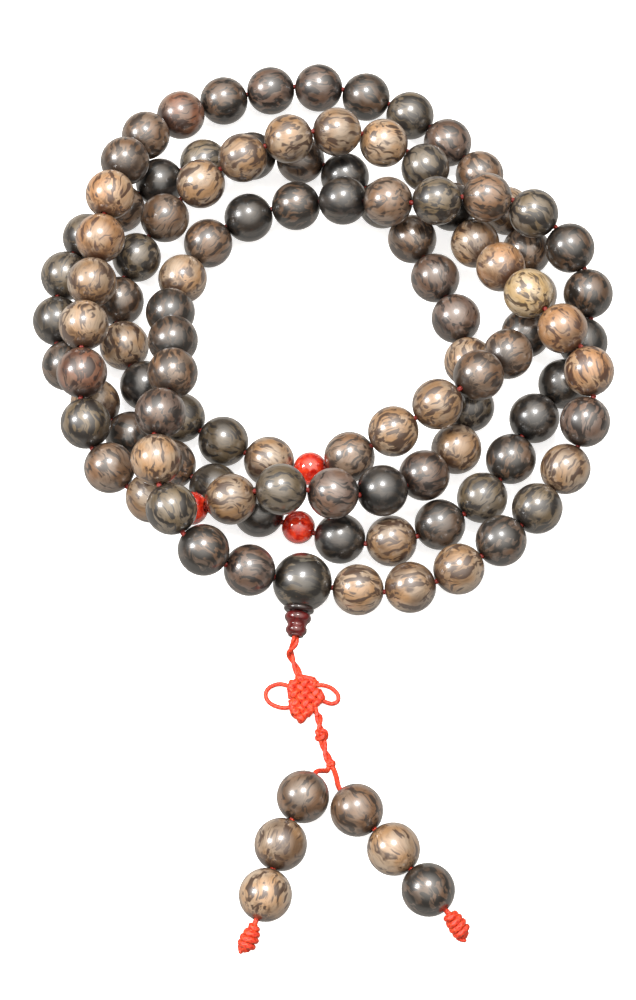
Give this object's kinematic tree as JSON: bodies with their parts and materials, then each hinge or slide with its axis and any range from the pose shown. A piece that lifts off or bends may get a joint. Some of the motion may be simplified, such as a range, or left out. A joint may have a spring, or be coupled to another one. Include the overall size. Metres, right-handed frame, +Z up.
{
  "type": "mala prayer beads",
  "caption": "Long string of polished patterned seed prayer beads coiled in a ring, with red glass dividers, a large guru bead, a small stupa and a knotted red cord with two beaded tails.",
  "frame": {"origin": "centre of the beads' bounding box, on the surface the beads lie on", "axes": "+Z up, +Y from the tails towards the far side of the coil, +X to the right when seen from the tails"},
  "size_m": [0.116, 0.1883, 0.0249],
  "materials": {
    "palm_seed": "polished, dark veins on tan, brown and grey",
    "guru_seed": "polished dark olive grey",
    "red_glass": "glossy",
    "dark_collar": "polished",
    "stupa_resin": "polished",
    "red_cord": "braided nylon"
  },
  "bodies": {
    "strand": {"main_cord": "red_cord", "guru_bead": "guru_seed", "guru_core_cord": "red_cord", "beads_first_quarter": "palm_seed", "beads_second_quarter": "palm_seed", "beads_third_quarter": "palm_seed"},
    "pendant": {"pendant_cord": "red_cord", "endless_knot": "red_cord", "ear_loop_left": "red_cord", "ear_loop_right": "red_cord"},
    "lower_pendant": {"lower_cord": "red_cord", "button_knot": "red_cord", "split_cord": "red_cord", "split_knot": "red_cord"},
    "left_tail": {"left_cord_upper": "red_cord"},
    "right_tail": {"right_cord_upper": "red_cord"},
    "left_tail_end": {"left_cord_lower": "red_cord", "left_end_knot": "red_cord"},
    "right_tail_end": {"right_cord_lower": "red_cord", "right_end_knot": "red_cord"},
    "stupa_collar": {"stupa_collar": "dark_collar"},
    "stupa_bead": {"stupa_bead": "stupa_resin"},
    "divider_first": {"divider_first": "red_glass"},
    "divider_second": {"divider_second": "red_glass"},
    "divider_third": {"divider_third": "red_glass"},
    "bead_082": {"bead_082": "palm_seed"},
    "bead_083": {"bead_083": "palm_seed"},
    "bead_084": {"bead_084": "palm_seed"},
    "bead_085": {"bead_085": "palm_seed"},
    "bead_086": {"bead_086": "palm_seed"},
    "bead_087": {"bead_087": "palm_seed"},
    "bead_088": {"bead_088": "palm_seed"},
    "bead_089": {"bead_089": "palm_seed"},
    "bead_090": {"bead_090": "palm_seed"},
    "bead_091": {"bead_091": "palm_seed"},
    "bead_092": {"bead_092": "palm_seed"},
    "bead_093": {"bead_093": "palm_seed"},
    "bead_094": {"bead_094": "palm_seed"},
    "bead_095": {"bead_095": "palm_seed"},
    "bead_096": {"bead_096": "palm_seed"},
    "bead_097": {"bead_097": "palm_seed"},
    "bead_098": {"bead_098": "palm_seed"},
    "bead_099": {"bead_099": "palm_seed"},
    "bead_100": {"bead_100": "palm_seed"},
    "bead_101": {"bead_101": "palm_seed"},
    "bead_102": {"bead_102": "palm_seed"},
    "bead_103": {"bead_103": "palm_seed"},
    "bead_104": {"bead_104": "palm_seed"},
    "bead_105": {"bead_105": "palm_seed"},
    "bead_106": {"bead_106": "palm_seed"},
    "bead_107": {"bead_107": "palm_seed"},
    "bead_108": {"bead_108": "palm_seed"},
    "left_tail_bead_1": {"left_tail_bead_1": "palm_seed"},
    "left_tail_bead_2": {"left_tail_bead_2": "palm_seed"},
    "left_tail_bead_3": {"left_tail_bead_3": "palm_seed"},
    "right_tail_bead_1": {"right_tail_bead_1": "palm_seed"},
    "right_tail_bead_2": {"right_tail_bead_2": "palm_seed"},
    "right_tail_bead_3": {"right_tail_bead_3": "palm_seed"}
  },
  "joints": [
    {"name": "pendant_swing", "type": "hinge", "parent": "strand", "child": "pendant", "pos_m": [-0.00528, -0.0354, 0.00461], "axis": [0, 0, 1], "range_deg": [-30, 30]},
    {"name": "knot_lift", "type": "hinge", "parent": "pendant", "child": "lower_pendant", "pos_m": [-0.00087, -0.05017, 0.001], "axis": [-0.9788, -0.2047, 0], "range_deg": [0, 45]},
    {"name": "left_tail_swing", "type": "hinge", "parent": "lower_pendant", "child": "left_tail", "pos_m": [0.00073, -0.06117, 0.0012], "axis": [0, 0, 1], "range_deg": [-45, 0]},
    {"name": "right_tail_swing", "type": "hinge", "parent": "lower_pendant", "child": "right_tail", "pos_m": [0.00213, -0.06117, 0.0012], "axis": [0, 0, 1], "range_deg": [0, 45]},
    {"name": "left_tail_bend", "type": "hinge", "parent": "left_tail", "child": "left_tail_end", "pos_m": [-0.00583, -0.07208, 0.00492], "axis": [0, 0, 1], "range_deg": [-20, 20]},
    {"name": "right_tail_bend", "type": "hinge", "parent": "right_tail", "child": "right_tail_end", "pos_m": [0.00961, -0.07382, 0.00492], "axis": [0, 0, 1], "range_deg": [-20, 20]},
    {"name": "spin_stupa_collar", "type": "hinge", "parent": "strand", "child": "stupa_collar", "pos_m": [-0.00397, -0.02477, 0.00612], "axis": [-0.1207, -0.9829, -0.1392], "continuous": true},
    {"name": "spin_stupa_bead", "type": "hinge", "parent": "strand", "child": "stupa_bead", "pos_m": [-0.00397, -0.02477, 0.00612], "axis": [-0.1207, -0.9829, -0.1392], "continuous": true},
    {"name": "spin_divider_first", "type": "hinge", "parent": "strand", "child": "divider_first", "pos_m": [-0.00477, -0.01283, 0.00512], "axis": [-0.935, 0.3547, 0.003], "continuous": true},
    {"name": "spin_divider_second", "type": "hinge", "parent": "strand", "child": "divider_second", "pos_m": [-0.02535, -0.01127, 0.0107], "axis": [-0.9478, 0.0829, -0.308], "continuous": true},
    {"name": "spin_divider_third", "type": "hinge", "parent": "strand", "child": "divider_third", "pos_m": [-0.00249, -0.00074, 0.006], "axis": [-0.9683, 0.0556, -0.2434], "continuous": true},
    {"name": "spin_bead_082", "type": "hinge", "parent": "strand", "child": "bead_082", "pos_m": [-0.01055, 0.0012, 0.00518], "axis": [-0.9339, 0.3565, -0.0289], "continuous": true},
    {"name": "spin_bead_083", "type": "hinge", "parent": "strand", "child": "bead_083", "pos_m": [-0.0196, 0.00557, 0.0051], "axis": [-0.8803, 0.4744, 0.0031], "continuous": true},
    {"name": "spin_bead_084", "type": "hinge", "parent": "strand", "child": "bead_084", "pos_m": [-0.02818, 0.01079, 0.00506], "axis": [-0.8087, 0.5882, 0.0041], "continuous": true},
    {"name": "spin_bead_085", "type": "hinge", "parent": "strand", "child": "bead_085", "pos_m": [-0.03534, 0.01777, 0.00512], "axis": [-0.5917, 0.8061, -0.0108], "continuous": true},
    {"name": "spin_bead_086", "type": "hinge", "parent": "strand", "child": "bead_086", "pos_m": [-0.03968, 0.02681, 0.00492], "axis": [-0.2943, 0.9556, -0.0121], "continuous": true},
    {"name": "spin_bead_087", "type": "hinge", "parent": "strand", "child": "bead_087", "pos_m": [-0.04091, 0.03671, 0.00516], "axis": [0.1126, 0.9915, 0.0654], "continuous": true},
    {"name": "spin_bead_088", "type": "hinge", "parent": "strand", "child": "bead_088", "pos_m": [-0.03763, 0.04608, 0.00629], "axis": [0.4712, 0.8714, 0.1369], "continuous": true},
    {"name": "spin_bead_089", "type": "hinge", "parent": "strand", "child": "bead_089", "pos_m": [-0.032, 0.05419, 0.00811], "axis": [0.6547, 0.7066, 0.2686], "continuous": true},
    {"name": "spin_bead_090", "type": "hinge", "parent": "strand", "child": "bead_090", "pos_m": [-0.02472, 0.06021, 0.01141], "axis": [0.796, 0.4974, 0.3449], "continuous": true},
    {"name": "spin_bead_091", "type": "hinge", "parent": "strand", "child": "bead_091", "pos_m": [-0.01617, 0.0646, 0.01428], "axis": [0.8893, 0.4055, 0.2114], "continuous": true},
    {"name": "spin_bead_092", "type": "hinge", "parent": "strand", "child": "bead_092", "pos_m": [-0.00692, 0.06835, 0.01541], "axis": [0.9513, 0.3047, 0.0462], "continuous": true},
    {"name": "spin_bead_093", "type": "hinge", "parent": "strand", "child": "bead_093", "pos_m": [0.00289, 0.07027, 0.01498], "axis": [0.9784, 0.0755, -0.1923], "continuous": true},
    {"name": "spin_bead_094", "type": "hinge", "parent": "strand", "child": "bead_094", "pos_m": [0.01239, 0.0695, 0.01192], "axis": [0.9129, -0.2098, -0.3501], "continuous": true},
    {"name": "spin_bead_095", "type": "hinge", "parent": "strand", "child": "bead_095", "pos_m": [0.02094, 0.06545, 0.00889], "axis": [0.7013, -0.6705, -0.242], "continuous": true},
    {"name": "spin_bead_096", "type": "hinge", "parent": "strand", "child": "bead_096", "pos_m": [0.0262, 0.05705, 0.00766], "axis": [0.4252, -0.9041, -0.0423], "continuous": true},
    {"name": "spin_bead_097", "type": "hinge", "parent": "strand", "child": "bead_097", "pos_m": [0.03069, 0.04813, 0.00842], "axis": [0.4509, -0.844, 0.2905], "continuous": true},
    {"name": "spin_bead_098", "type": "hinge", "parent": "strand", "child": "bead_098", "pos_m": [0.03542, 0.0404, 0.01272], "axis": [0.4657, -0.7492, 0.4709], "continuous": true},
    {"name": "spin_bead_099", "type": "hinge", "parent": "strand", "child": "bead_099", "pos_m": [0.0405, 0.03256, 0.01622], "axis": [0.6041, -0.7763, 0.1801], "continuous": true},
    {"name": "spin_bead_100", "type": "hinge", "parent": "strand", "child": "bead_100", "pos_m": [0.04695, 0.02488, 0.01606], "axis": [0.6409, -0.7582, -0.1197], "continuous": true},
    {"name": "spin_bead_101", "type": "hinge", "parent": "strand", "child": "bead_101", "pos_m": [0.05196, 0.01648, 0.01418], "axis": [0.2365, -0.9218, -0.307], "continuous": true},
    {"name": "spin_bead_102", "type": "hinge", "parent": "strand", "child": "bead_102", "pos_m": [0.05114, 0.00726, 0.01057], "axis": [-0.2806, -0.8758, -0.3926], "continuous": true},
    {"name": "spin_bead_103", "type": "hinge", "parent": "strand", "child": "bead_103", "pos_m": [0.04725, -0.00136, 0.00722], "axis": [-0.4987, -0.8438, -0.1981], "continuous": true},
    {"name": "spin_bead_104", "type": "hinge", "parent": "strand", "child": "bead_104", "pos_m": [0.04152, -0.00955, 0.00673], "axis": [-0.649, -0.7596, 0.0415], "continuous": true},
    {"name": "spin_bead_105", "type": "hinge", "parent": "strand", "child": "bead_105", "pos_m": [0.03432, -0.01653, 0.00712], "axis": [-0.7688, -0.6394, 0.0058], "continuous": true},
    {"name": "spin_bead_106", "type": "hinge", "parent": "strand", "child": "bead_106", "pos_m": [0.02607, -0.02224, 0.00662], "axis": [-0.8727, -0.4846, -0.0598], "continuous": true},
    {"name": "spin_bead_107", "type": "hinge", "parent": "strand", "child": "bead_107", "pos_m": [0.01674, -0.02582, 0.00611], "axis": [-0.9802, -0.1843, -0.0716], "continuous": true},
    {"name": "spin_bead_108", "type": "hinge", "parent": "strand", "child": "bead_108", "pos_m": [0.00673, -0.02608, 0.0055], "axis": [-0.9946, 0.0945, -0.0439], "continuous": true},
    {"name": "spin_left_tail_bead_1", "type": "hinge", "parent": "left_tail", "child": "left_tail_bead_1", "pos_m": [-0.00377, -0.06747, 0.00492], "axis": [-0.4384, -0.8988, 0], "continuous": true},
    {"name": "spin_left_tail_bead_2", "type": "hinge", "parent": "left_tail_end", "child": "left_tail_bead_2", "pos_m": [-0.00788, -0.0767, 0.00492], "axis": [-0.342, -0.9397, 0], "continuous": true},
    {"name": "spin_left_tail_bead_3", "type": "hinge", "parent": "left_tail_end", "child": "left_tail_bead_3", "pos_m": [-0.01064, -0.08631, 0.00492], "axis": [-0.3338, -0.9426, 0], "continuous": true},
    {"name": "spin_right_tail_bead_1", "type": "hinge", "parent": "right_tail", "child": "right_tail_bead_1", "pos_m": [0.00623, -0.07007, 0.00492], "axis": [0.5878, -0.809, 0], "continuous": true},
    {"name": "spin_right_tail_bead_2", "type": "hinge", "parent": "right_tail_end", "child": "right_tail_bead_2", "pos_m": [0.01299, -0.07758, 0.00492], "axis": [0.6494, -0.7604, 0], "continuous": true},
    {"name": "spin_right_tail_bead_3", "type": "hinge", "parent": "right_tail_end", "child": "right_tail_bead_3", "pos_m": [0.01928, -0.08535, 0.00492], "axis": [0.6428, -0.766, 0], "continuous": true}
  ]
}
